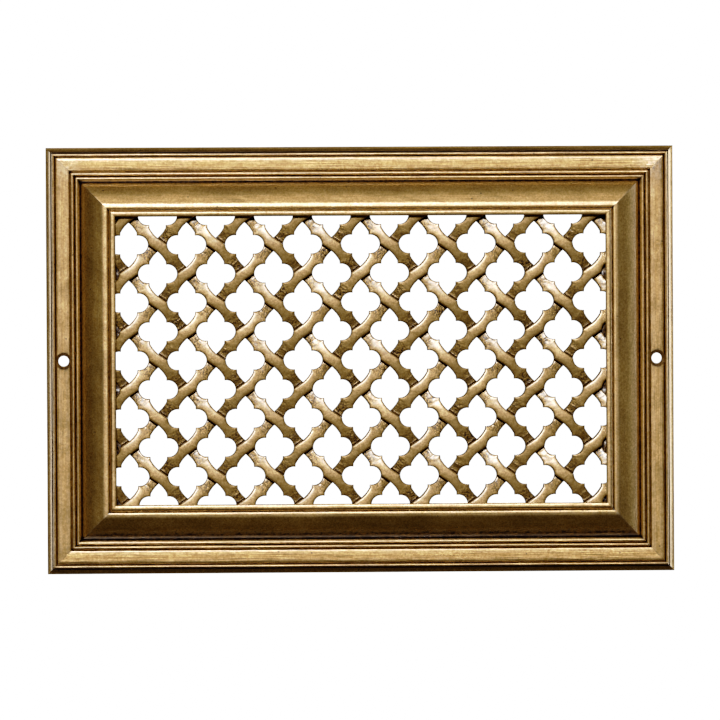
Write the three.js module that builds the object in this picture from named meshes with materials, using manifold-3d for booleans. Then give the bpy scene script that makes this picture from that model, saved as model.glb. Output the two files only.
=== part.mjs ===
// Decorative vent cover: a cast rectangular moulding with a lattice grille of woven bars set into its back.
// Millimetres. +Z is up, the front faces -Y, +X is to the right, and the wall is the plane y = 0.
// The origin is in the middle of the back. Both pieces are drawn lying on their backs, with x across,
// y up the face and z as the height above the wall, and the group at the end stands them up.
import * as THREE from "three";
import { mergeVertices } from "three/addons/utils/BufferGeometryUtils.js";
import Module from "manifold-3d";

const wasm = await Module();
wasm.setup();

// Overall size
const outerWidth = 330;
const outerHeight = 224;

// Moulding, from the outer edge inward: widths across the rail and heights above the wall
const outerEdgeHeight = 1.5;
const bevelWidth = 2.8;
const lowGrooveFloor = 4.5;
const outerBeadWidth = 1.8;
const outerBeadRise = 1.1;
const outerGrooveWidth = 0.7;
const bandWidth = 6.9;
const bandEdgeRise = 0.7;
const bandCrown = 0.7;
const bandGrooveWidth = 0.7;
const secondBeadWidth = 1.6;
const secondBeadRise = 2.3;
const thirdGrooveWidth = 0.9;
const thirdBeadWidth = 1.7;
const thirdBeadRise = 2.8;
const creviceWidth = 1.1;
const cushionWidth = 10.6;
const cushionFootRise = 1.6;
const cushionFootTilt = 58;
const cushionTopTilt = 15;
const cushionGrooveWidth = 0.3;
const innerBeadWidth = 2.7;
const innerGrooveWidth = 1.0;
const lipBeadWidth = 3.2;
const innerGrooveRise = 0.4;
const innerBeadRise = 1.5;

// Screw holes, one in the middle of each short rail
const screwHoleInset = 9.0;
const screwHoleDiameter = 5.6;
const countersinkDiameter = 9.0;
const countersinkAngle = 90;

// Lattice grille: the openings are four-lobed, with round side lobes and pointed top and bottom lobes
const latticePitch = 30.4;
const lobeReach = 10.25;
const lobeRadius = 4.95;
const pointReach = 11.75;
const cuspTurn = 100;
const cuspSideLength = 1.6;
const cuspSideLean = 0.1;
const latticeThickness = 5.6;
const latticeSetBack = 3.2;
const weaveRise = 2.2;
const sliverDepth = 2.8;
const sliverLap = 0.4;

// How the grille sits in the rebate behind the frame's inner edge
const latticeLap = 4.5;
const seatGap = 0.3;
const rimSetBack = 0.6;

// Facets along curves, and how far a tool runs past what it cuts or joins
const beadFacets = 4;
const bandFacets = 4;
const cushionFacets = 6;
const lobeFacets = 3;
const holeFacets = 24;
const toolOverrun = 1;

// Values that follow from the sizes above
const radians = THREE.MathUtils.degToRad;
const cushionFoot = lowGrooveFloor + cushionFootRise;
const cushionRadius = cushionWidth / (Math.sin(radians(cushionFootTilt)) - Math.sin(radians(cushionTopTilt)));
const cushionTop = cushionFoot
  + cushionRadius * (Math.cos(radians(cushionTopTilt)) - Math.cos(radians(cushionFootTilt)));
const innerGrooveFloor = cushionTop + innerGrooveRise;
const frameDepth = innerGrooveFloor + innerBeadRise;
const crestHeight = frameDepth - latticeSetBack;
const latticeBack = crestHeight - latticeThickness;
const rebateCeiling = crestHeight + seatGap;
const valleyHeight = crestHeight - weaveRise;
const halfPitch = latticePitch / 2;
const barSpan = latticePitch / Math.SQRT2;
const crossingHalfWidth = halfPitch - lobeReach;
const crossingHalfHeight = halfPitch - pointReach;
const crossingRun = Math.max(crossingHalfWidth, crossingHalfHeight) / Math.SQRT2;

// A closed mesh as a solid for joining and cutting, and a solid back as a mesh's geometry
function toSolid(geometry) {
  geometry.deleteAttribute("normal");
  geometry.deleteAttribute("uv");
  const merged = mergeVertices(geometry, 1e-4);
  const triVerts = new Uint32Array(merged.index.array);
  const vertProperties = new Float32Array(merged.attributes.position.array);
  return new wasm.Manifold(new wasm.Mesh({ numProp: 3, vertProperties, triVerts }));
}

function toGeometry(solid) {
  const { vertProperties, triVerts } = solid.getMesh();
  const geometry = new THREE.BufferGeometry();
  geometry.setAttribute("position", new THREE.BufferAttribute(vertProperties, 3));
  geometry.setIndex(new THREE.BufferAttribute(triVerts, 1));
  return geometry;
}

function join(solids) {
  return wasm.Manifold.union(solids);
}

// A block centred on a point of the face, between two heights above the wall
function block(x, y, width, height, low, high) {
  const geometry = new THREE.BoxGeometry(width, height, high - low);
  geometry.translate(x, y, (low + high) / 2);
  return toSolid(geometry);
}

// The rail's section, as distance from the outer edge and height above the wall
class Section {
  constructor() {
    this.across = 0;
    this.points = [];
  }

  point(height) {
    this.points.push(new THREE.Vector2(this.across, height));
  }

  flat(width, height) {
    this.across += width;
    this.point(height);
  }

  // A half-round bead that rises from its floor and comes back down to it
  bead(width, floor, rise) {
    for (let i = 1; i <= beadFacets; i++) {
      const turn = (Math.PI * i) / beadFacets;
      const x = this.across + (width * (1 - Math.cos(turn))) / 2;
      this.points.push(new THREE.Vector2(x, floor + rise * Math.sin(turn)));
    }
    this.across += width;
  }

  // A shallow crowned band that stands up square from its floor
  band(width, floor, edgeRise, crown) {
    for (let i = 0; i <= bandFacets; i++) {
      const share = i / bandFacets;
      const bow = 4 * share * (1 - share);
      this.points.push(new THREE.Vector2(this.across + width * share, floor + edgeRise + crown * bow));
    }
    this.across += width;
    this.point(floor);
  }

  // The cushion: a round that leans outward, steep at its foot and nearly flat at its top
  cushion(width, foot, footTilt, topTilt) {
    const radius = cushionRadius;
    for (let i = 0; i <= cushionFacets; i++) {
      const tilt = radians(footTilt + ((topTilt - footTilt) * i) / cushionFacets);
      const x = this.across + radius * (Math.sin(radians(footTilt)) - Math.sin(tilt));
      const height = foot + radius * (Math.cos(tilt) - Math.cos(radians(footTilt)));
      this.points.push(new THREE.Vector2(x, height));
    }
    this.across += width;
  }
}

function railSection() {
  const section = new Section();
  section.point(0);
  section.point(outerEdgeHeight);
  section.flat(bevelWidth, lowGrooveFloor);
  section.bead(outerBeadWidth, lowGrooveFloor, outerBeadRise);
  section.flat(outerGrooveWidth, lowGrooveFloor);
  section.band(bandWidth, lowGrooveFloor, bandEdgeRise, bandCrown);
  section.flat(bandGrooveWidth, lowGrooveFloor);
  section.bead(secondBeadWidth, lowGrooveFloor, secondBeadRise);
  section.flat(thirdGrooveWidth, lowGrooveFloor);
  section.bead(thirdBeadWidth, lowGrooveFloor, thirdBeadRise);
  section.flat(creviceWidth, lowGrooveFloor);
  section.cushion(cushionWidth, cushionFoot, cushionFootTilt, cushionTopTilt);
  section.flat(cushionGrooveWidth, innerGrooveFloor);
  section.bead(innerBeadWidth, innerGrooveFloor, innerBeadRise);
  section.flat(innerGrooveWidth, innerGrooveFloor);
  section.bead(lipBeadWidth, innerGrooveFloor, innerBeadRise);
  return section;
}

const rail = railSection();
const railWidth = rail.across;
const apertureWidth = outerWidth - 2 * railWidth;
const apertureHeight = outerHeight - 2 * railWidth;

// A closed section carried round the rectangle, with a mitre in each corner
function mitredRing(points) {
  const corners = [[1, 1], [-1, 1], [-1, -1], [1, -1]];
  const positions = [];
  for (const [sideX, sideY] of corners) {
    for (const point of points) {
      positions.push(sideX * (outerWidth / 2 - point.x), sideY * (outerHeight / 2 - point.x), point.y);
    }
  }
  const indices = [];
  const count = points.length;
  for (let corner = 0; corner < corners.length; corner++) {
    const here = corner * count;
    const next = ((corner + 1) % corners.length) * count;
    for (let i = 0; i < count; i++) {
      const j = (i + 1) % count;
      indices.push(here + i, next + i, next + j);
      indices.push(here + i, next + j, here + j);
    }
  }
  const geometry = new THREE.BufferGeometry();
  geometry.setAttribute("position", new THREE.Float32BufferAttribute(positions, 3));
  geometry.setIndex(indices);
  return geometry;
}

// A drill with a countersink, standing on the wall side and wide open at the front of the band
function screwHoleTool() {
  const bandTop = lowGrooveFloor + bandEdgeRise + bandCrown;
  const bore = screwHoleDiameter / 2;
  const mouth = countersinkDiameter / 2;
  const sinkDepth = (mouth - bore) / Math.tan(radians(countersinkAngle / 2));
  const profile = [
    new THREE.Vector2(0, -toolOverrun),
    new THREE.Vector2(bore, -toolOverrun),
    new THREE.Vector2(bore, bandTop - sinkDepth),
    new THREE.Vector2(mouth, bandTop),
    new THREE.Vector2(mouth, bandTop + toolOverrun),
    new THREE.Vector2(0, bandTop + toolOverrun),
  ];
  const geometry = new THREE.LatheGeometry(profile, holeFacets);
  geometry.rotateX(Math.PI / 2);
  return toSolid(geometry);
}

function frameSolid() {
  const rebateDepth = latticeLap + seatGap;
  const section = [...rail.points];
  section.push(new THREE.Vector2(railWidth, rebateCeiling));
  section.push(new THREE.Vector2(railWidth - rebateDepth, rebateCeiling));
  section.push(new THREE.Vector2(railWidth - rebateDepth, 0));
  const ring = toSolid(mitredRing(section));
  const tool = screwHoleTool();
  const holeX = outerWidth / 2 - screwHoleInset;
  return ring.subtract(tool.translate([holeX, 0, 0])).subtract(tool.translate([-holeX, 0, 0]));
}

// A quarter of an opening's outline about its centre, from the end of a round lobe to a point
function openingQuarter() {
  const lobeCentre = lobeReach - lobeRadius;
  const quarter = [];
  for (let i = 0; i <= lobeFacets; i++) {
    const turn = radians((cuspTurn * i) / lobeFacets);
    quarter.push([lobeCentre + lobeRadius * Math.cos(turn), lobeRadius * Math.sin(turn)]);
  }
  const [cuspX, cuspY] = quarter[lobeFacets];
  quarter.push([cuspX - cuspSideLean, cuspY + cuspSideLength]);
  quarter.push([0, pointReach]);
  return quarter;
}

// The height of a bar's face at a distance along it from the crossing where it passes under
function weaveHeight(distance) {
  const share = (distance - crossingRun) / (barSpan - 2 * crossingRun);
  return valleyHeight + weaveRise * THREE.MathUtils.smoothstep(share, 0, 1);
}

// The faces of the woven bars. A crossing is a lozenge between the tips of four openings, where one
// bar passes over at the crest height and the other starts from each side at the valley height.
class WeaveFaces {
  constructor(columns, rows) {
    this.columns = columns;
    this.rows = rows;
    this.quarter = openingQuarter();
    this.positions = [];
  }

  holds(column, row) {
    return Math.abs(column) <= this.columns && Math.abs(row) <= this.rows;
  }

  // A face whose corners run anticlockwise seen from outside, or clockwise where it is mirrored
  face(corners, mirrored) {
    for (let i = 2; i < corners.length; i++) {
      const [first, second, third] = [corners[0], corners[i - 1], corners[i]];
      this.positions.push(...first, ...(mirrored ? third : second), ...(mirrored ? second : third));
    }
  }

  // A bar from the crossing at (x, y), where it is under, to the next one in the direction (toX, toY)
  bar(x, y, toX, toY) {
    const mirrored = toX * toY < 0;
    const at = (point, height) => [point[0], point[1], height];
    const front = (point) => {
      const distance = ((point[0] - x) * toX + (point[1] - y) * toY) / Math.SQRT2;
      return at(point, weaveHeight(distance));
    };
    const back = (point) => at(point, latticeBack);
    const beside = this.quarter.map(([px, py]) => [x + toX * (halfPitch - px), y + toY * py]);
    const beyond = this.quarter.map(([px, py]) => [x + toX * px, y + toY * (halfPitch - py)]).reverse();
    const last = beside.length - 1;
    for (let i = 0; i < last; i++) {
      const [b0, b1, c0, c1] = [beside[i], beside[i + 1], beyond[i], beyond[i + 1]];
      const atTip = (point) => (i === last - 1 ? [at(point, valleyHeight)] : []);
      this.face([front(b0), front(b1), front(c1), front(c0)], mirrored);
      this.face([back(b0), back(c0), back(c1), back(b1)], mirrored);
      this.face([back(b0), back(b1), ...atTip(b1), front(b1), front(b0)], mirrored);
      this.face([back(c0), front(c0), front(c1), ...atTip(c1), back(c1)], mirrored);
    }
  }

  // Part of a crossing's side, between two heights
  side(x, y, toX, toY, low, high) {
    const besideTip = [x + toX * crossingHalfWidth, y];
    const beyondTip = [x, y + toY * crossingHalfHeight];
    const corners = [[...besideTip, low], [...beyondTip, low], [...beyondTip, high], [...besideTip, high]];
    this.face(corners, toX * toY < 0);
  }

  crossing(column, row) {
    const x = column * halfPitch;
    const y = row * halfPitch;
    const lozenge = (height) => [
      [x + crossingHalfWidth, y, height],
      [x, y + crossingHalfHeight, height],
      [x - crossingHalfWidth, y, height],
      [x, y - crossingHalfHeight, height],
    ];
    this.face(lozenge(crestHeight), false);
    this.face(lozenge(latticeBack), true);
    for (const [toX, toY] of [[1, 1], [-1, 1], [-1, -1], [1, -1]]) {
      const divesHere = toX * toY > 0 === (row % 2 === 0);
      const goesOn = this.holds(column + toX, row + toY);
      if (divesHere || !goesOn) this.side(x, y, toX, toY, valleyHeight, crestHeight);
      if (!goesOn) this.side(x, y, toX, toY, latticeBack, valleyHeight);
      if (divesHere && goesOn) this.bar(x, y, toX, toY);
    }
  }

  solid() {
    const geometry = new THREE.BufferGeometry();
    geometry.setAttribute("position", new THREE.Float32BufferAttribute(this.positions, 3));
    return toSolid(geometry);
  }
}

// Bars that rise to the right dive in the even rows, and the others dive in the odd rows
function wovenBars() {
  const columns = Math.ceil(apertureWidth / latticePitch) + 1;
  const rows = Math.ceil(apertureHeight / latticePitch) + 1;
  const faces = new WeaveFaces(columns, rows);
  for (let column = -columns; column <= columns; column++) {
    for (let row = -rows; row <= rows; row++) {
      if ((column + row) % 2 !== 0) faces.crossing(column, row);
    }
  }
  return faces.solid();
}

// Low fills where an opening's centre is behind a side rail and only the end of its lobe would show
function sliverFills() {
  const halfAperture = apertureWidth / 2;
  const column = Math.floor(halfAperture / halfPitch) + 1;
  const lobeEnd = column * halfPitch - lobeReach;
  if (lobeEnd >= halfAperture) return [];
  const width = halfAperture + rimSetBack + toolOverrun - lobeEnd + sliverLap;
  const x = lobeEnd - sliverLap + width / 2;
  const height = 2 * (lobeRadius + sliverLap);
  const rows = Math.ceil(apertureHeight / latticePitch);
  const fills = [];
  for (let row = -rows; row <= rows; row++) {
    if ((column + row) % 2 !== 0) continue;
    for (const side of [-1, 1]) {
      fills.push(block(side * x, row * halfPitch, width, height, latticeBack, crestHeight - sliverDepth));
    }
  }
  return fills;
}

function latticeSolid() {
  const insideWidth = apertureWidth + 2 * rimSetBack;
  const insideHeight = apertureHeight + 2 * rimSetBack;
  const low = latticeBack - toolOverrun;
  const high = crestHeight + toolOverrun;
  const inside = block(0, 0, insideWidth, insideHeight, low, high);
  const joint = block(0, 0, insideWidth + toolOverrun, insideHeight + toolOverrun, low, high);
  const outline = block(
    0,
    0,
    apertureWidth + 2 * latticeLap,
    apertureHeight + 2 * latticeLap,
    latticeBack,
    crestHeight,
  );
  const rim = outline.subtract(inside);
  return join([wovenBars(), ...sliverFills()]).intersect(joint).add(rim);
}

function castPiece(name, solid, colour) {
  const material = new THREE.MeshStandardMaterial({ color: colour, roughness: 0.42, metalness: 0.85 });
  const mesh = new THREE.Mesh(toGeometry(solid), material);
  mesh.name = name;
  return mesh;
}

const ventCover = new THREE.Group();
ventCover.add(castPiece("frame", frameSolid(), 0xb39355));
ventCover.add(castPiece("lattice_grille", latticeSolid(), 0xa88a4e));
ventCover.rotation.x = Math.PI / 2;

export default ventCover;
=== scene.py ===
# Decorative vent cover: the cast moulding and its woven grille, with antique gold paint, soft studio
# light and the photograph's camera.
import math
from collections import namedtuple

import bmesh
import bpy
import numpy as np
from mathutils import Matrix, Vector
from mathutils.kdtree import KDTree


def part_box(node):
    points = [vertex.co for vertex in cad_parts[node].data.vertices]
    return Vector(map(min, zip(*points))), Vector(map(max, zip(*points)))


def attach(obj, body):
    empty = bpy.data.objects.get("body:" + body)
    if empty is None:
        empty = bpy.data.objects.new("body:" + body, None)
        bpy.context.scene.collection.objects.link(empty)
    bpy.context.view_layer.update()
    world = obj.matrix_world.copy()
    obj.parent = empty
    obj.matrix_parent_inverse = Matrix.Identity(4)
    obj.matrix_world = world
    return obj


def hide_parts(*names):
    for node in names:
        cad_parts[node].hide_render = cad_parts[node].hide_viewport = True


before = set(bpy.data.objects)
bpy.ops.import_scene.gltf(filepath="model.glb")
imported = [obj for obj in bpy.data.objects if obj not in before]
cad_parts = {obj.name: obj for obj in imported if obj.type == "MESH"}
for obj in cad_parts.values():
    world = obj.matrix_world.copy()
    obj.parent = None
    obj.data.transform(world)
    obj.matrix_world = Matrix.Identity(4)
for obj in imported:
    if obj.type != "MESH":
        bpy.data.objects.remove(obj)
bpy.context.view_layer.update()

# Shapes are worked out in millimetres on the face: x across, y up, and h as the height above the wall
MM = 0.001
SEED = 2811

frame_low, frame_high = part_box("frame")
panel_low, panel_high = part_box("lattice_grille")
OUTER_WIDTH = (frame_high.x - frame_low.x) / MM
OUTER_HEIGHT = (frame_high.z - frame_low.z) / MM
FRAME_DEPTH = -frame_low.y / MM
PANEL_WIDTH = (panel_high.x - panel_low.x) / MM
PANEL_HEIGHT = (panel_high.z - panel_low.z) / MM
CREST_HEIGHT = -panel_low.y / MM
PANEL_BACK = -panel_high.y / MM

# Rail sizes that match the CAD moulding
PANEL_LAP = 4.5
SEAT_GAP = 0.3
RAIL_WIDTH = (OUTER_WIDTH - PANEL_WIDTH) / 2 + PANEL_LAP
REBATE_CEILING = CREST_HEIGHT + SEAT_GAP
LIP_EDGE = RAIL_WIDTH + 0.5
GROOVE_FLOOR = 4.3
INNER_GROOVE_FLOOR = 5.0
BAND_TOP = 5.9
BAND_MIDDLE = 9.0
SCREW_HOLE_INSET = 9.0
SCREW_HOLE_X = OUTER_WIDTH / 2 - SCREW_HOLE_INSET
SCREW_BORE = 2.8
SCREW_MOUTH = 4.5
SCREW_HOLE_SIDES = 64

# Spacing of the sections along a rail, and the texture distance from one rail to the next
MOULDING_SPACING = 2.7
RIM_SPACING = 8
RAIL_STRIDE = 400.0

# Weave sizes that match the CAD grille
PITCH = 30.4
HALF_PITCH = PITCH / 2
LOBE_REACH = 10.25
LOBE_RADIUS = 4.95
POINT_REACH = 11.75
CUSP_TURN = 100
CUSP_SIDE_LENGTH = 1.6
CUSP_SIDE_LEAN = 0.1
BAR_SPAN = PITCH / math.sqrt(2)
TIP_ACROSS = HALF_PITCH - LOBE_REACH
TIP_UP = HALF_PITCH - POINT_REACH
CREVICE_SLANT = (TIP_ACROSS - TIP_UP) / (TIP_ACROSS + TIP_UP)
CREVICE_AT = BAR_SPAN - TIP_ACROSS / math.sqrt(2) * (1 - CREVICE_SLANT)
WEAVE_RISE = 3.4
RIM_SET_BACK = 0.6
RIM_CHAMFER = 0.3
CLIP_OVERRUN = 0.5
SLIVER_HEIGHT = 9.5
SLIVER_LAP = 0.4
SLIVER_STEPS = 9

# A bar's points across its width, its rounded edge and its tuck under a neighbour
ACROSS = np.array([-1, -0.975, -0.92, -0.8, -0.58, -0.3, 0, 0.3, 0.58, 0.8, 0.92, 0.975, 1])
EDGE_ROUND = 0.5
EDGE_SPREAD = 0.12
TUCK = 0.35

# Tooling beside each crevice: a groove, a raised line, and a second raised line on some bars
TOOL_GROOVE_WIDTH = 0.42
TOOL_GROOVE_DEPTH = 0.45
RIDGE_PLACE = 1.05
RIDGE_WIDTH = 0.28
RIDGE_HEIGHT = 0.2
TOOL_LINE = 4.6
TOOL_LINE_WIDTH = 0.3

# Stain in the tooled grooves and along the bar edges, where on the edges it is partly painted shade on
# the bars' turned-down sides, on the bars' backs, on the fills beside the side rails, on the rim and in
# the screw holes
GROOVE_STAIN = 0.84
BACK_STAIN = 0.7
SLIVER_STAIN = 0.75
RIM_STAIN = 0.7
HOLE_STAIN = 0.62

# Paint, as linear colours
FRAME_GOLD = (0.62, 0.374, 0.115, 1)
FRAME_PALE = (0.93, 0.62, 0.25, 1)
# The grille's gold and pale are darker copies of the frame's, as painted shade over the whole grille
LATTICE_GOLD_SHADED = (0.425, 0.254, 0.074, 1)
LATTICE_PALE_SHADED = (0.62, 0.405, 0.158, 1)
# Pale gold for rubbed high places, also used for painted highlights
RUB_AND_HIGHLIGHT_GOLD = (0.93, 0.70, 0.46, 1)
# Dark brown for the stain, also used for painted shade
STAIN_AND_SHADE_BROWN = (0.036, 0.015, 0.013, 1)
DEEP_SHARES = (0.62, 0.52, 0.36, 1)

# The camera that puts the cover's corners, holes and openings where the photograph has them
LENS = 300
CAMERA_PLACE = (-0.09988, -3.15689, 0.0315)
CAMERA_YAW = 0.03155
CAMERA_PITCH = -0.01006
CAMERA_ROLL = -0.00521

# Scene brightness and picture brightness, with deep darks and flat highlights
TONE_CURVE = [(0, 0), (0.014, 0.002), (0.033, 0.013), (0.067, 0.05), (0.135, 0.135), (0.35, 0.36)]
TONE_CURVE += [(0.58, 0.58), (0.9, 0.77), (1.15, 0.89), (1.4, 1.0), (1.7, 1.0), (2, 1)]


def smooth(value, low, high):
    """Eases from 0 at low to 1 at high."""
    share = np.clip((value - low) / (high - low), 0, 1)
    return share * share * (3 - 2 * share)


def ripple(points, wavelength, seed, waves=28):
    """Smooth random relief of about unit strength, with features about one wavelength across."""
    random = np.random.default_rng(SEED + seed)
    directions = random.normal(size=(waves, 3))
    directions /= np.linalg.norm(directions, axis=1)[:, None]
    turns = 2 * math.pi / (wavelength * random.uniform(0.7, 1.6, waves))
    phases = random.uniform(0, 2 * math.pi, waves)
    angles = points @ (directions * turns[:, None]).T + phases
    return np.sin(angles).sum(axis=1) / math.sqrt(waves / 2)


def face_to_world(points):
    """Face coordinates in millimetres as world coordinates in metres."""
    return np.column_stack([points[:, 0], -points[:, 2], points[:, 1]]) * MM


def set_values(mesh, values):
    """Stores one number or one vector for each point of the mesh, under each name."""
    for name, value in values.items():
        single = value.ndim == 1
        layer = mesh.attributes.new(name, "FLOAT" if single else "FLOAT_VECTOR", "POINT")
        layer.data.foreach_set("value" if single else "vector", value.astype(np.float32).ravel())


def make_mesh(name, points, faces):
    mesh = bpy.data.meshes.new(name)
    mesh.from_pydata(face_to_world(points).tolist(), [], faces)
    return mesh


def make_piece(name, mesh, material, sharp_angle):
    mesh.materials.append(material)
    mesh.polygons.foreach_set("use_smooth", [True] * len(mesh.polygons))
    mesh.set_sharp_from_angle(angle=math.radians(sharp_angle))
    piece = bpy.data.objects.new(name, mesh)
    bpy.context.scene.collection.objects.link(piece)
    return piece


def loop_faces(here, ahead, count):
    """Quads between two closed loops of count points, given each loop's first point."""
    i = np.arange(count)
    after = (i + 1) % count
    return np.column_stack([here + i, ahead + i, ahead + after, here + after]).tolist()


class Section:
    """A rail's section as (distance from the outer edge, height), with stain (partly painted shade) and
    rub at each point.
    """

    def __init__(self, across, height):
        self.points = [(across, height)]
        self.stains = [0.0]
        self.rubs = [0.0]

    def sweep(self, across, height, leave, arrive, steps, stain=0.0, rub=0.0):
        """A smooth stretch to a point, from one tilt to another in degrees above level."""
        start = np.array(self.points[-1])
        end = np.array([across, height])
        reach = 0.39 * np.linalg.norm(end - start)
        first = start + reach * np.array([math.cos(math.radians(leave)), math.sin(math.radians(leave))])
        last = end - reach * np.array([math.cos(math.radians(arrive)), math.sin(math.radians(arrive))])
        for i in range(1, steps + 1):
            t = i / steps
            point = (1 - t) ** 3 * start + 3 * t * (1 - t) ** 2 * first
            point = point + 3 * t * t * (1 - t) * last + t**3 * end
            self.points.append(tuple(point))
            self.stains.append(stain)
            self.rubs.append(rub)

    def line(self, across, height, steps, stain=0.0, rub=0.0):
        start = np.array(self.points[-1])
        for i in range(1, steps + 1):
            self.points.append(tuple(start + (np.array([across, height]) - start) * i / steps))
            self.stains.append(stain)
            self.rubs.append(rub)

    def groove(self, across, end_height, floor, stain=1.0):
        """A narrow round-bottomed groove that comes up to the foot of the next part."""
        middle = (self.points[-1][0] + across) / 2
        self.sweep(middle, floor, -80, 0, 3, stain)
        self.sweep(across, end_height, 0, 80, 3, stain)


def moulding_section():
    """The frame's section from its outer foot over the front to the rebate and the flat back."""
    section = Section(0.0, 0.0)
    # Outer edge and the hollow bevel
    section.line(0.0, 1.35, 2, 0.7)
    section.sweep(0.22, 1.62, 85, 34, 2, 0.5)
    section.sweep(2.45, 4.2, 32, 62, 12, 0.15)
    section.groove(3.05, 4.5, 3.6)
    # Outer bead
    section.sweep(3.95, 5.55, 84, 0, 6, 0.0, 0.6)
    section.sweep(4.4, 5.3, -4, -42, 3, 0.0, 0.3)
    section.line(4.7, 5.0, 2, 0.3)
    section.groove(5.25, 5.0, GROOVE_FLOOR, 0.92)
    # Band, with a small round outer shoulder
    section.sweep(5.5, 5.5, 82, 30, 3, 0.1)
    section.sweep(7.6, 5.86, 24, 1, 12, 0.0, 0.3)
    section.sweep(9.8, 5.86, 0, -1, 4)
    section.sweep(11.5, 5.79, -1, -4, 5, 0.0, 0.3)
    section.sweep(12.45, 5.3, -8, -84, 4, 0.1, 0.4)
    section.groove(13.15, 5.2, GROOVE_FLOOR, 0.6)
    # Second bead, round-topped with a sloped inner side
    section.line(13.18, 6.0, 2, 0.25)
    section.sweep(14.05, 6.7, 85, 0, 6, 0.0, 0.6)
    section.sweep(14.5, 6.5, -4, -42, 3, 0.0, 0.3)
    section.line(14.85, 6.15, 2, 0.25)
    section.groove(15.5, 5.9, INNER_GROOVE_FLOOR, 0.8)
    # Third bead, which falls away to the cushion's foot; the darkening that deepens down its flank into
    # the crevice is partly patina and partly painted shade
    section.line(15.55, 6.4, 1, 0.3)
    section.sweep(16.35, 7.05, 80, 0, 6, 0.0, 0.6)
    section.sweep(17.0, 6.8, -4, -36, 3, 0.25)
    section.sweep(17.6, 6.3, -38, -50, 3, 0.5)
    section.sweep(18.1, 5.6, -52, -64, 3, 0.75)
    section.groove(18.5, 5.5, INNER_GROOVE_FLOOR, 0.88)
    # Cushion, whose foot is darkened partly as painted shade
    section.line(18.53, 5.8, 2, 0.75)
    section.sweep(18.9, 6.3, 68, 59, 3, 0.6)
    section.sweep(19.9, 7.65, 58, 55, 3, 0.42)
    section.sweep(22.3, 9.95, 52, 41, 8)
    section.sweep(29.1, 14.1, 40, 27, 15)
    # Inner bead, which runs on from the cushion, and the groove beside it
    section.sweep(30.65, 14.58, 26, 7, 8, 0.05, 0.45)
    section.sweep(31.75, 14.65, 6, -6, 5, 0.15, 0.6)
    section.sweep(32.6, 14.15, -8, -84, 5, 0.35)
    section.line(32.63, 13.9, 1, 0.5)
    section.groove(33.15, 14.0, 13.4, 0.65)
    # Lip bead and the inner wall
    section.line(33.18, 14.5, 1, 0.3)
    section.sweep(34.7, FRAME_DEPTH - 0.06, 62, 3, 12, 0.0, 0.6)
    section.sweep(36.1, 15.6, 0, -18, 5, 0.0, 0.4)
    section.sweep(LIP_EDGE, 15.1, -30, -88, 4, 0.25)
    section.line(LIP_EDGE, REBATE_CEILING, 4, 0.8)
    # Rebate and the flat back
    section.line(RAIL_WIDTH - PANEL_LAP - SEAT_GAP, REBATE_CEILING, 2, 0.8)
    section.line(RAIL_WIDTH - PANEL_LAP - SEAT_GAP, 0.0, 4, 0.5)
    section.line(4.0, 0.0, 6, 0.4)
    section.line(0.9, 0.0, 1, 0.4)
    return section


def rail_stations(length, spacing):
    """Shares of a rail's length, close together beside each mitre."""
    near = np.array([0.0, 0.3, 0.9]) / length
    count = int(length / spacing)
    middle = np.linspace(2.0 / length, 1 - 2.0 / length, count)
    return np.concatenate([near, middle, 1 - near[:0:-1]])


def ring(points, spacing):
    """A closed section carried round the rectangle, with a mitre in each corner: points, faces, each
    point's place on its rail, and the number of sections."""
    corners = [(1, 1), (-1, 1), (-1, -1), (1, -1)]
    inset = points[:, 0]
    vertices, places = [], []
    for k in range(4):
        here, after = corners[k], corners[(k + 1) % 4]
        length = OUTER_WIDTH if here[1] == after[1] else OUTER_HEIGHT
        for share in rail_stations(length, spacing):
            across = [side[0] * (OUTER_WIDTH / 2 - inset) for side in (here, after)]
            upward = [side[1] * (OUTER_HEIGHT / 2 - inset) for side in (here, after)]
            x = across[0] + (across[1] - across[0]) * share
            y = upward[0] + (upward[1] - upward[0]) * share
            vertices.append(np.column_stack([x, y, points[:, 1]]))
            along = np.full(len(inset), k * RAIL_STRIDE) + share * length
            places.append(np.column_stack([along, inset, points[:, 1]]))
    count = len(points)
    stations = len(vertices)
    faces = []
    for j in range(stations):
        faces += loop_faces(j * count, ((j + 1) % stations) * count, count)
    return np.vstack(vertices), faces, np.vstack(places), stations


def screw_hole_tool():
    """A drill with a countersink, turned round the hole's axis."""
    sink = SCREW_MOUTH - SCREW_BORE
    profile = [(SCREW_BORE, -2.0), (SCREW_BORE, BAND_TOP - sink), (SCREW_MOUTH, BAND_TOP)]
    profile.append((SCREW_MOUTH, BAND_TOP + 2.0))
    sides = SCREW_HOLE_SIDES
    points, faces = [], []
    for radius, height in profile:
        for k in range(sides):
            turn = 2 * math.pi * k / sides
            points.append((radius * math.cos(turn), radius * math.sin(turn), height))
    for level in range(len(profile) - 1):
        for k in range(sides):
            a, b = level * sides + k, level * sides + (k + 1) % sides
            faces.append([a, b, b + sides, a + sides])
    faces.append(list(range(sides - 1, -1, -1)))
    faces.append([(len(profile) - 1) * sides + k for k in range(sides)])
    return np.array(points), faces


def drilled(mesh):
    """The mesh with both screw holes cut through it."""
    work = bpy.data.objects.new("drilled_work", mesh)
    bpy.context.scene.collection.objects.link(work)
    points, faces = screw_hole_tool()
    tools = []
    for side in (-1, 1):
        tool = bpy.data.objects.new("drill", make_mesh("drill", points, faces))
        tool.location = (side * SCREW_HOLE_X * MM, 0, 0)
        bpy.context.scene.collection.objects.link(tool)
        cut = work.modifiers.new("hole", "BOOLEAN")
        cut.operation = "DIFFERENCE"
        cut.solver = "EXACT"
        cut.object = tool
        tools.append(tool)
    depsgraph = bpy.context.evaluated_depsgraph_get()
    result = bpy.data.meshes.new_from_object(work.evaluated_get(depsgraph))
    for thing in (work, *tools):
        bpy.data.objects.remove(thing)
    return result


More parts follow.
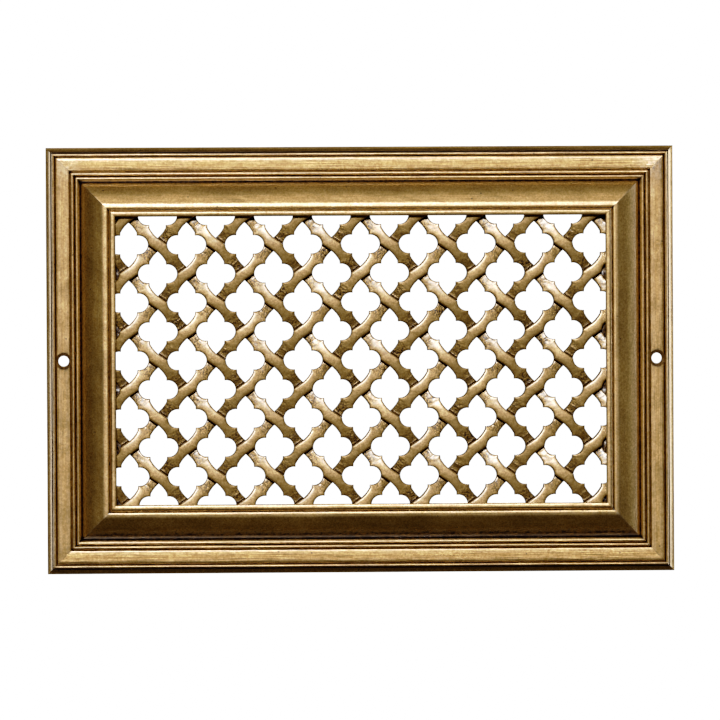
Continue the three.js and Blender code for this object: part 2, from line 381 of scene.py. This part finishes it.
def frame_finish(x, upward, height, stain, rub):
    """Stain and rub over the frame, from the section's values and from where each point is, with
    painted shade added to the stain and painted highlights added to the rub.
    """
    to_side = OUTER_WIDTH / 2 - np.abs(x)
    to_end = OUTER_HEIGHT / 2 - np.abs(upward)
    inset = np.minimum(to_side, to_end)
    front = smooth(height, 1.5, 3)
    on_cushion = smooth(inset, 18.6, 20) * (1 - smooth(inset, 31, 32))
    # Each mitre shows as a stained crease on the flats and, on the cushion, a pale hip line that is
    # partly rub and partly painted highlight
    crease = front * np.exp(-(((to_side - to_end) / 0.6) ** 2))
    # At the cushion's foot, painted shade darkens the bottom rail, and less stain on the right rail
    # paints light there
    on_bottom = (upward < 0) & (to_end < to_side)
    on_right = (x > 0) & (to_side < to_end)
    painted_foot_shade = 0.85 * front * on_bottom * smooth(inset, 17.3, 18.0) * (1 - smooth(inset, 19.4, 25.5))
    painted_light_on_right_foot = 1 - 0.65 * on_right * smooth(inset, 18.2, 18.8) * (1 - smooth(inset, 21, 22))
    stain_and_shade_amount = np.maximum(stain * painted_light_on_right_foot + 0.4 * crease * (1 - on_cushion), painted_foot_shade)
    # Painted highlights on the band's two upper corners, the right one brighter
    from_corner = np.hypot(to_side - BAND_MIDDLE, to_end - BAND_MIDDLE)
    painted_corner_highlight = front * np.exp(-((from_corner / 8) ** 2)) * np.where(x > 0, 1.9, 1.0)
    painted_corner_highlight *= (upward > 0) * smooth(inset, 5.6, 6.4) * (1 - smooth(inset, 12.2, 12.6))
    # Both countersinks are evenly stained
    in_hole = np.hypot(np.abs(x) - SCREW_HOLE_X, upward) < SCREW_MOUTH + 0.05
    stain_and_shade_amount = np.where(in_hole, HOLE_STAIN, np.clip(stain_and_shade_amount, 0, 1))
    rub_and_highlight_amount = np.clip(rub * (1 - in_hole) + 0.8 * crease * on_cushion + painted_corner_highlight, 0, 2)
    return stain_and_shade_amount, rub_and_highlight_amount


def frame_moulding(material):
    section = moulding_section()
    points, faces, places, stations = ring(np.array(section.points), MOULDING_SPACING)
    stain = np.tile(section.stains, stations)
    rub = np.tile(section.rubs, stations)
    # Cast surface: slow waves along the rails and small dents, none on the flat back or the outer wall
    free = smooth(points[:, 2], 1.6, 3.5)
    dents = 0.035 * ripple(points, 14, 1) + 0.022 * ripple(points, 4.5, 2)
    points[:, 2] = np.minimum(points[:, 2] + free * dents, FRAME_DEPTH)
    cut = drilled(make_mesh("frame_moulding", points, faces))
    # The drilled mesh takes each value from the nearest point of the ring
    tree = KDTree(len(points))
    for i, point in enumerate(face_to_world(points)):
        tree.insert(point, i)
    tree.balance()
    nearest = np.array([tree.find(v.co)[1] for v in cut.vertices])
    where = np.array([v.co for v in cut.vertices]) / MM
    stain_and_shade_amount, rub_and_highlight_amount = frame_finish(where[:, 0], where[:, 2], -where[:, 1], stain[nearest], rub[nearest])
    set_values(cut, {"stain": stain_and_shade_amount, "rub": rub_and_highlight_amount, "rail_place": places[nearest]})
    piece = make_piece("frame_moulding", cut, material, sharp_angle=40)
    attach(piece, "root")
    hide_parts("frame")
    return piece


# A closed part of the grille, with its finish at each point
Shell = namedtuple("Shell", "points faces stain rub dive")


def opening_quarter():
    """A quarter of an opening's outline about its centre, from its point to the end of a round lobe."""
    centre = LOBE_REACH - LOBE_RADIUS
    turns = np.radians(np.linspace(0, CUSP_TURN, 15))
    lobe = np.column_stack([centre + LOBE_RADIUS * np.cos(turns), LOBE_RADIUS * np.sin(turns)])
    cusp = lobe[-1]
    side_end = cusp + np.array([-CUSP_SIDE_LEAN, CUSP_SIDE_LENGTH])
    shares = np.linspace(0, 1, 9)[:, None]
    straight = side_end + (np.array([0.0, POINT_REACH]) - side_end) * shares
    bulge = 0.35 * np.sin(math.pi * shares) * np.array([0.75, 0.66])
    return np.vstack([lobe, straight + bulge])[::-1]


def bar_edge():
    """The upper edge of a bar that passes over the crossing at the origin, as (a, v) pairs.
    Its length runs along u and its width along v, and a is u measured to a line that slants as the
    crevices do."""
    quarter = opening_quarter()
    first = np.column_stack([quarter[:, 0] - HALF_PITCH, -quarter[:, 1]])
    second = np.column_stack([quarter[:, 0], HALF_PITCH - quarter[:, 1]])
    path = np.vstack([first, second])
    u = (path[:, 0] + path[:, 1]) / math.sqrt(2)
    v = (path[:, 1] - path[:, 0]) / math.sqrt(2)
    a = np.maximum.accumulate(u + CREVICE_SLANT * v + np.arange(len(u)) * 1e-6)
    return a, v


def bar_stations(edge_a):
    """Places along a bar: even ones, with more at the outline's corners and at the tooled lines."""
    even = np.linspace(-CREVICE_AT, CREVICE_AT, 47)
    quarter = len(edge_a) // 2
    marks = edge_a[[8, 9, quarter - 1, quarter, quarter + 8, quarter + 9]]
    tooled = TOOL_LINE + np.array([-0.35, 0, 0.35])
    ends = CREVICE_AT - np.concatenate([[0.25, 0.5, 0.75, 1.0, 1.3], tooled])
    every = np.concatenate([even, marks, -marks, ends, -ends])
    every = np.sort(every[np.abs(every) < CREVICE_AT])
    kept = [every[0]]
    for value in every[1:]:
        if value - kept[-1] > 0.12:
            kept.append(value)
    return np.concatenate([[-CREVICE_AT - TUCK, -CREVICE_AT], kept, [CREVICE_AT, CREVICE_AT + TUCK]])


def bar_surface(stations, u, v, middle, half, face_places, seed):
    """Height, stain, rub and dive over a bar, where dive grows as the bar goes down to a crevice; the
    stain includes painted shade on the edges and the rub painted highlights on the raised lines.
    """
    random = np.random.default_rng(SEED + seed)
    rise = WEAVE_RISE * random.uniform(0.9, 1.1)
    lean = random.uniform(-0.035, 0.035)
    across = np.abs(ACROSS)[None, :]
    reach = np.abs(u) / CREVICE_AT
    arch = 1 - smooth(reach, 0.2, 0.85)
    # Round over the crossing and flatter where the bar dives, with rounded edges
    height = CREST_HEIGHT - rise * reach**2 - (0.14 + 0.16 * arch) * across**2.6
    turn = np.clip(1 - (1 - across) * half / EDGE_ROUND, 0, 1)
    height = height - EDGE_ROUND * (1 - np.sqrt(np.clip(1 - turn**2, 0, 1)))
    # A tooled groove and a raised line beside each crevice, and on some bars a second line
    from_crevice = CREVICE_AT - np.abs(stations)[:, None]
    groove = np.exp(-((from_crevice / TOOL_GROOVE_WIDTH) ** 2))
    ridge = np.exp(-(((from_crevice - RIDGE_PLACE) / RIDGE_WIDTH) ** 2))
    tooled = np.where(stations < 0, random.uniform(-0.6, 1), random.uniform(-0.6, 1))[:, None]
    second = np.exp(-(((from_crevice - TOOL_LINE) / TOOL_LINE_WIDTH) ** 2)) * np.clip(tooled, 0, 1)
    raised = (RIDGE_HEIGHT * ridge + RIDGE_HEIGHT * second) * (1 - across**4)
    height = height - TOOL_GROOVE_DEPTH * groove + raised
    # Hammer marks, mostly where the bar dives
    marks = (ripple(face_places, 2.6, 11) + 0.6 * ripple(face_places, 1.5, 12)).reshape(u.shape)
    hammered = 0.01 + random.uniform(0.01, 0.045) * (1 - smooth(arch, 0.1, 0.7))
    height = np.minimum(height + hammered * marks + lean * (v - middle), CREST_HEIGHT)
    # Stain in the grooves and the hammer marks; along the edges the stain is partly painted shade on
    # the turned-down sides; the rub on the raised lines is partly wear and partly painted highlight
    diving = 1 - smooth(arch, 0.0, 0.7)
    stain = np.maximum(GROOVE_STAIN * groove, GROOVE_STAIN * smooth(turn, 0.4, 0.95))
    stain = np.maximum(stain, 0.4 * diving * smooth(-marks, 0.0, 1.4))
    rub = np.clip(ridge * 0.9 + second * 0.7 + 0.1 * arch, 0, 1) * (1 - stain)
    return height, stain, rub, diving * random.uniform(0.4, 1)


def bar_shell(edge, stations, x, y, mirrored, seed):
    """A bar over one crossing, from where it comes up beside a neighbour to where it dives again."""
    edge_a, edge_v = edge
    high = np.interp(stations, edge_a, edge_v) + EDGE_SPREAD
    low = -np.interp(-stations, edge_a, edge_v) - EDGE_SPREAD
    middle = (high + low)[:, None] / 2
    half = (high - low)[:, None] / 2
    v = middle + half * ACROSS[None, :]
    u = stations[:, None] - CREVICE_SLANT * v
    sideways = -1 if mirrored else 1
    px = x + sideways * (u - v) / math.sqrt(2)
    py = y + (u + v) / math.sqrt(2)
    face_places = np.column_stack([px.ravel(), py.ravel(), np.zeros(px.size)])
    height, stain, rub, dive = bar_surface(stations, u, v, middle, half, face_places, seed)
    # Each station's loop closes along the back
    back = np.full((len(stations), 2), PANEL_BACK + 0.02)
    back[[0, -1]] += 0.12
    loop_x = np.hstack([px, px[:, [-1, 0]]])
    loop_y = np.hstack([py, py[:, [-1, 0]]])
    loop_h = np.hstack([height, back])
    points = np.column_stack([loop_x.ravel(), loop_y.ravel(), loop_h.ravel()])
    finish = []
    for value, back_value in ((stain, BACK_STAIN), (rub, 0.0), (dive, 0.0)):
        finish.append(np.hstack([value, np.full(back.shape, back_value)]).ravel())
    count = loop_x.shape[1]
    faces = []
    for j in range(len(stations) - 1):
        faces += loop_faces(j * count, (j + 1) * count, count)
    faces.append(list(range(count)))
    faces.append([(len(stations) - 1) * count + k for k in range(count - 1, -1, -1)])
    if mirrored:
        faces = [face[::-1] for face in faces]
    return Shell(points, faces, *finish)


def sliver_fill(x, y, side, half_height):
    """A low uneven fill at a side rail, where only the end of an opening's lobe would show."""
    steps = SLIVER_STEPS
    start = HALF_PITCH * round(x / HALF_PITCH) - LOBE_REACH - SLIVER_LAP
    xs = side * np.linspace(start, PANEL_WIDTH / 2 - PANEL_LAP + RIM_SET_BACK + CLIP_OVERRUN, steps)
    low = max(y - LOBE_RADIUS - SLIVER_LAP, -half_height)
    high = min(y + LOBE_RADIUS + SLIVER_LAP, half_height)
    ys = np.linspace(low, high, steps)
    gx, gy = np.meshgrid(xs, ys)
    flat = np.column_stack([gx.ravel(), gy.ravel(), np.zeros(gx.size)])
    top = np.column_stack([flat[:, :2], SLIVER_HEIGHT + 0.18 * ripple(flat, 3.0, 13)])
    bottom = np.column_stack([flat[:, :2], np.full(gx.size, PANEL_BACK + 0.04)])
    points = np.vstack([top, bottom])
    count = steps * steps
    faces = []
    for r in range(steps - 1):
        for c in range(steps - 1):
            a = r * steps + c
            quad = [a, a + 1, a + steps + 1, a + steps]
            faces.append(quad)
            faces.append([p + count for p in quad[::-1]])
    border = list(range(steps))
    border += [r * steps + steps - 1 for r in range(1, steps)]
    border += [(steps - 1) * steps + c for c in range(steps - 2, -1, -1)]
    border += [r * steps for r in range(steps - 2, 0, -1)]
    for k in range(len(border)):
        a, b = border[k], border[(k + 1) % len(border)]
        faces.append([b, a, a + count, b + count])
    if side < 0:
        faces = [face[::-1] for face in faces]
    stain = np.full(2 * count, SLIVER_STAIN)
    return Shell(points, faces, stain, np.zeros(2 * count), np.ones(2 * count))


def panel_rim():
    """The plain rim that sits in the frame's rebate."""
    outer = (OUTER_WIDTH - PANEL_WIDTH) / 2
    inner = RAIL_WIDTH - RIM_SET_BACK
    shoulder = CREST_HEIGHT - RIM_CHAMFER
    section = [(outer, PANEL_BACK), (outer, shoulder), (outer + RIM_CHAMFER, CREST_HEIGHT)]
    section += [(inner - RIM_CHAMFER, CREST_HEIGHT), (inner, shoulder), (inner, PANEL_BACK)]
    points, faces, _, _ = ring(np.array(section), RIM_SPACING)
    none = np.zeros(len(points))
    return Shell(points, faces, np.full(len(points), RIM_STAIN), none, none)


def join_shells(name, shells):
    """One mesh of all the shells, with their finish."""
    faces = []
    start = 0
    for shell in shells:
        faces += [[start + corner for corner in face] for face in shell.faces]
        start += len(shell.points)
    mesh = make_mesh(name, np.vstack([shell.points for shell in shells]), faces)
    keys = ("stain", "rub", "dive")
    set_values(mesh, {key: np.concatenate([getattr(shell, key) for shell in shells]) for key in keys})
    return mesh


def clip(mesh, half_width, half_height):
    """Cuts the mesh off square at the rim and closes each cut."""
    work = bmesh.new()
    work.from_mesh(mesh)
    for normal, reach in (((1, 0, 0), half_width), ((0, 0, 1), half_height)):
        for side in (-1, 1):
            direction = Vector(normal) * side
            bmesh.ops.bisect_plane(
                work,
                geom=work.verts[:] + work.edges[:] + work.faces[:],
                plane_co=direction * reach * MM,
                plane_no=direction,
                clear_outer=True,
            )
            open_edges = [edge for edge in work.edges if edge.is_boundary]
            bmesh.ops.holes_fill(work, edges=open_edges, sides=0)
    work.to_mesh(mesh)
    work.free()


def lattice_panel(material):
    edge = bar_edge()
    stations = bar_stations(edge[0])
    half_width = PANEL_WIDTH / 2 - PANEL_LAP + RIM_SET_BACK + CLIP_OVERRUN
    half_height = PANEL_HEIGHT / 2 - PANEL_LAP + RIM_SET_BACK + CLIP_OVERRUN
    columns = math.ceil(half_width / HALF_PITCH)
    rows = math.ceil(half_height / HALF_PITCH)
    bars = []
    for row in range(-rows, rows + 1):
        for column in range(-columns, columns + 1):
            if (column + row) % 2 == 0:
                continue
            # Bars that fall to the right pass over in the even rows, and the others in the odd rows
            seed = 100 + (row + rows) * 50 + column + columns
            x, y = column * HALF_PITCH, row * HALF_PITCH
            bars.append(bar_shell(edge, stations, x, y, row % 2 == 0, seed))
    panel = join_shells("lattice_panel", bars)
    clip(panel, half_width, half_height)
    side_column = math.floor((half_width - RIM_SET_BACK) / HALF_PITCH) + 1
    fills = [panel_rim()]
    for row in range(-rows, rows + 1):
        if (side_column + row) % 2 == 0 and abs(row) * HALF_PITCH < half_height:
            for side in (-1, 1):
                fills.append(sliver_fill(side_column * HALF_PITCH, row * HALF_PITCH, side, half_height))
    extras = join_shells("lattice_fills", fills)
    work = bmesh.new()
    work.from_mesh(panel)
    work.from_mesh(extras)
    work.to_mesh(panel)
    work.free()
    bpy.data.meshes.remove(extras)
    piece = make_piece("lattice_panel", panel, material, sharp_angle=48)
    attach(piece, "root")
    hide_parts("lattice_grille")
    return piece


class Nodes:
    """A node tree written as calls, where an input is a value or another node's output."""

    def __init__(self, tree):
        self.tree = tree
        tree.nodes.clear()

    def add(self, kind, inputs=None, **settings):
        node = self.tree.nodes.new("ShaderNode" + kind)
        for key, value in settings.items():
            setattr(node, key, value)
        for key, value in (inputs or {}).items():
            if isinstance(value, bpy.types.NodeSocket):
                self.tree.links.new(value, node.inputs[key])
            else:
                node.inputs[key].default_value = value
        return node.outputs

    def noise(self, vector, scale, detail=2.0, roughness=0.5):
        inputs = {"Vector": vector, "Scale": scale, "Detail": detail, "Roughness": roughness}
        return self.add("TexNoise", inputs)["Fac"]

    def span(self, value, low, high, to_low, to_high):
        """The value's way from low to high, as a way from to_low to to_high."""
        inputs = {"Value": value, "From Min": low, "From Max": high}
        inputs |= {"To Min": to_low, "To Max": to_high}
        return self.add("MapRange", inputs)["Result"]

    def math(self, operation, first, second):
        return self.add("Math", {0: first, 1: second}, operation=operation)["Value"]

    def plus(self, first, second):
        return self.math("ADD", first, second)

    def times(self, first, second):
        return self.math("MULTIPLY", first, second)

    def blend(self, share, first, second):
        return self.add("MixRGB", {"Fac": share, "Color1": first, "Color2": second})["Color"]


def brush_streaks(nodes, place, colour, deep, relief):
    """Brush streaks along each rail, added to the colour and relief, and a few small dark nicks."""
    rail = nodes.add("Attribute", attribute_name="rail_place")["Vector"]
    drawn = nodes.add("VectorMath", {0: rail, 1: (0.035, 2.6, 0.9)}, operation="MULTIPLY")["Vector"]
    streak = nodes.noise(drawn, 1.0, 3, 0.6)
    # The streaks are strong on the band and faint from the cushion inwards
    inset = nodes.add("SeparateXYZ", {"Vector": rail})["Y"]
    brushed = nodes.span(inset, 16.0, 20.0, 1, 0.3)
    colour = nodes.blend(nodes.times(nodes.span(streak, 0.56, 0.3, 0, 0.7), brushed), colour, deep)
    relief = nodes.plus(relief, nodes.times(nodes.times(streak, brushed), 2.6))
    nick = nodes.add("TexVoronoi", {"Vector": place, "Scale": 130.0})["Distance"]
    return colour, relief, nodes.span(nick, 0.075, 0.045, 0, 0.8)


def hammer_marks(nodes, place, relief):
    """Hammer marks added to the relief and small dark pits, where the bars dive."""
    dive = nodes.add("Attribute", attribute_name="dive")["Fac"]
    hammer = nodes.noise(place, 1050, 1, 0.5)
    relief = nodes.plus(relief, nodes.times(nodes.times(hammer, dive), 6.0))
    return relief, nodes.times(nodes.span(hammer, 0.48, 0.39, 0, 1), dive)


def antique_gold(name, gold, pale, roughness, streaked):
    """Satin metallic paint with a fine pebbled grain, a dark brown stain that also carries painted
    shade, and rubbed high places that also carry painted highlights.
    """
    material = bpy.data.materials.new(name)
    material.use_nodes = True
    nodes = Nodes(material.node_tree)
    place = nodes.add("TexCoord")["Object"]
    stain = nodes.add("Attribute", attribute_name="stain")["Fac"]
    rub = nodes.add("Attribute", attribute_name="rub")["Fac"]
    grain = nodes.noise(place, 1100, 2, 0.6)
    mottle = nodes.noise(place, 620, 3, 0.6)
    clouds = nodes.noise(place, 45, 2)
    # Gold with pale and deep grains
    deep = tuple(channel * share for channel, share in zip(gold, DEEP_SHARES))
    colour = nodes.blend(nodes.span(grain, 0.35, 0.68, 0, 1), gold, pale)
    colour = nodes.blend(nodes.span(mottle, 0.56, 0.36, 0, 0.4), colour, deep)
    relief = nodes.plus(nodes.times(grain, 0.6), mottle)
    if streaked:
        colour, relief, marks = brush_streaks(nodes, place, colour, deep, relief)
    else:
        relief, marks = hammer_marks(nodes, place, relief)
    # Rubbed high places and painted highlights, then the stain with painted shade, and the dark marks
    rub_and_highlight_amount = nodes.times(rub, nodes.span(mottle, 0.38, 0.62, 0.15, 1))
    colour = nodes.blend(nodes.times(rub_and_highlight_amount, 0.55), colour, RUB_AND_HIGHLIGHT_GOLD)
    ragged = nodes.plus(stain, nodes.span(mottle, 0.3, 0.7, -0.22, 0.22))
    stain_and_shade_amount = nodes.math("MAXIMUM", nodes.span(ragged, 0.25, 0.85, 0, 1), marks)
    colour = nodes.blend(stain_and_shade_amount, colour, STAIN_AND_SHADE_BROWN)
    rough = nodes.span(grain, 0.3, 0.7, roughness + 0.05, roughness - 0.05)
    rough = nodes.plus(rough, nodes.span(clouds, 0.35, 0.65, -0.04, 0.04))
    rough = nodes.math("SUBTRACT", rough, nodes.times(rub_and_highlight_amount, 0.07))
    bump = nodes.add("Bump", {"Height": relief, "Strength": 0.55, "Distance": 0.00012})["Normal"]
    shader = nodes.add(
        "BsdfPrincipled",
        {
            "Base Color": colour,
            "Metallic": nodes.span(stain_and_shade_amount, 0, 1, 1.0, 0.7),
            "Roughness": rough,
            "Normal": bump,
            "Coat Weight": 1.0,
            "Coat Roughness": 0.3,
            "Coat IOR": 1.8,
        },
    )["BSDF"]
    nodes.add("OutputMaterial", {"Surface": shader})
    return material


def pale_floor():
    material = bpy.data.materials.new("pale_floor")
    material.use_nodes = True
    nodes = Nodes(material.node_tree)
    place = nodes.add("TexCoord")["Object"]
    speck = nodes.noise(place, 60, 3)
    share = nodes.span(speck, 0.3, 0.7, 0, 1)
    colour = nodes.blend(share, (0.80, 0.80, 0.79, 1), (0.86, 0.86, 0.85, 1))
    bump = nodes.add("Bump", {"Height": speck, "Strength": 0.1, "Distance": 0.0005})["Normal"]
    surface = {"Base Color": colour, "Roughness": 0.7, "Normal": bump}
    shader = nodes.add("BsdfPrincipled", surface)["BSDF"]
    nodes.add("OutputMaterial", {"Surface": shader})
    mesh = bpy.data.meshes.new("floor")
    half, depth = 1.3, -0.42
    corners = [(-half, -half, depth), (half, -half, depth), (half, half, depth), (-half, half, depth)]
    mesh.from_pydata(corners, [], [(0, 1, 2, 3)])
    mesh.materials.append(material)
    floor = bpy.data.objects.new("floor", mesh)
    bpy.context.scene.collection.objects.link(floor)
    floor.visible_glossy = False
    return floor


def softbox(name, location, width, height, power, colour=(1, 1, 1)):
    """A soft rectangular light that faces the middle of the cover."""
    data = bpy.data.lights.new(name, "AREA")
    data.shape = "RECTANGLE"
    data.size = width
    data.size_y = height
    data.energy = power
    data.color = colour
    light = bpy.data.objects.new(name, data)
    light.location = location
    light.rotation_euler = (-Vector(location)).to_track_quat("-Z", "Y").to_euler()
    light.visible_camera = False
    bpy.context.scene.collection.objects.link(light)
    return light


def studio():
    """A key light from the front, side panels that catch the bevels, and a white background."""
    softbox("key", (-0.45, -4.0, 1.85), 0.8, 0.6, 136)
    softbox("right_side", (1.0, 0.34, 0.25), 0.6, 0.9, 5.8, (0.86, 0.94, 1.0))
    softbox("left_side", (-0.9, 0.52, 0.1), 0.5, 0.8, 2.7, (0.88, 0.95, 1.0))
    softbox("back", (0.5, 1.5, 0.9), 1.0, 1.0, 16)
    world = bpy.data.worlds.new("studio")
    world.use_nodes = True
    bpy.context.scene.world = world
    nodes = Nodes(world.node_tree)
    seen = nodes.add("LightPath")["Is Camera Ray"]
    dim = nodes.add("Background", {"Color": (1.0, 0.96, 0.92, 1), "Strength": 0.05})["Background"]
    white = nodes.add("Background", {"Color": (1, 1, 1, 1), "Strength": 1.45})["Background"]
    both = nodes.add("MixShader", {0: seen, 1: dim, 2: white})["Shader"]
    nodes.add("OutputWorld", {"Surface": both})


def photo_camera():
    data = bpy.data.cameras.new("photo_camera")
    data.sensor_width = 36
    data.lens = LENS
    camera = bpy.data.objects.new("photo_camera", data)
    yaw, pitch = CAMERA_YAW, CAMERA_PITCH
    ahead = Vector((math.sin(yaw) * math.cos(pitch), math.cos(yaw) * math.cos(pitch), math.sin(pitch)))
    right = Vector((math.cos(yaw), -math.sin(yaw), 0))
    up = right.cross(ahead)
    turned_right = right * math.cos(CAMERA_ROLL) + up * math.sin(CAMERA_ROLL)
    turned_up = up * math.cos(CAMERA_ROLL) - right * math.sin(CAMERA_ROLL)
    turn = Matrix((turned_right, turned_up, -ahead)).transposed()
    camera.matrix_world = Matrix.Translation(CAMERA_PLACE) @ turn.to_4x4()
    bpy.context.scene.collection.objects.link(camera)
    bpy.context.scene.camera = camera
    return camera


def develop_picture():
    """A contrast curve like that of the photograph: deep saturated darks and soft pale highlights."""
    view = bpy.context.scene.view_settings
    view.view_transform = "Standard"
    view.use_curve_mapping = True
    mapping = view.curve_mapping
    mapping.use_clip = False
    mapping.clip_max_x = 2
    curve = mapping.curves[3]
    curve.points[1].location = TONE_CURVE[-1]
    for x, y in TONE_CURVE[1:-1]:
        curve.points.new(x, y)
    for point in curve.points:
        point.handle_type = "AUTO_CLAMPED"
    mapping.update()


photo_camera()
studio()
pale_floor()
frame_moulding(antique_gold("frame_gold", FRAME_GOLD, FRAME_PALE, 0.48, streaked=True))
lattice_panel(antique_gold("lattice_gold_shaded", LATTICE_GOLD_SHADED, LATTICE_PALE_SHADED, 0.56, streaked=False))
develop_picture()
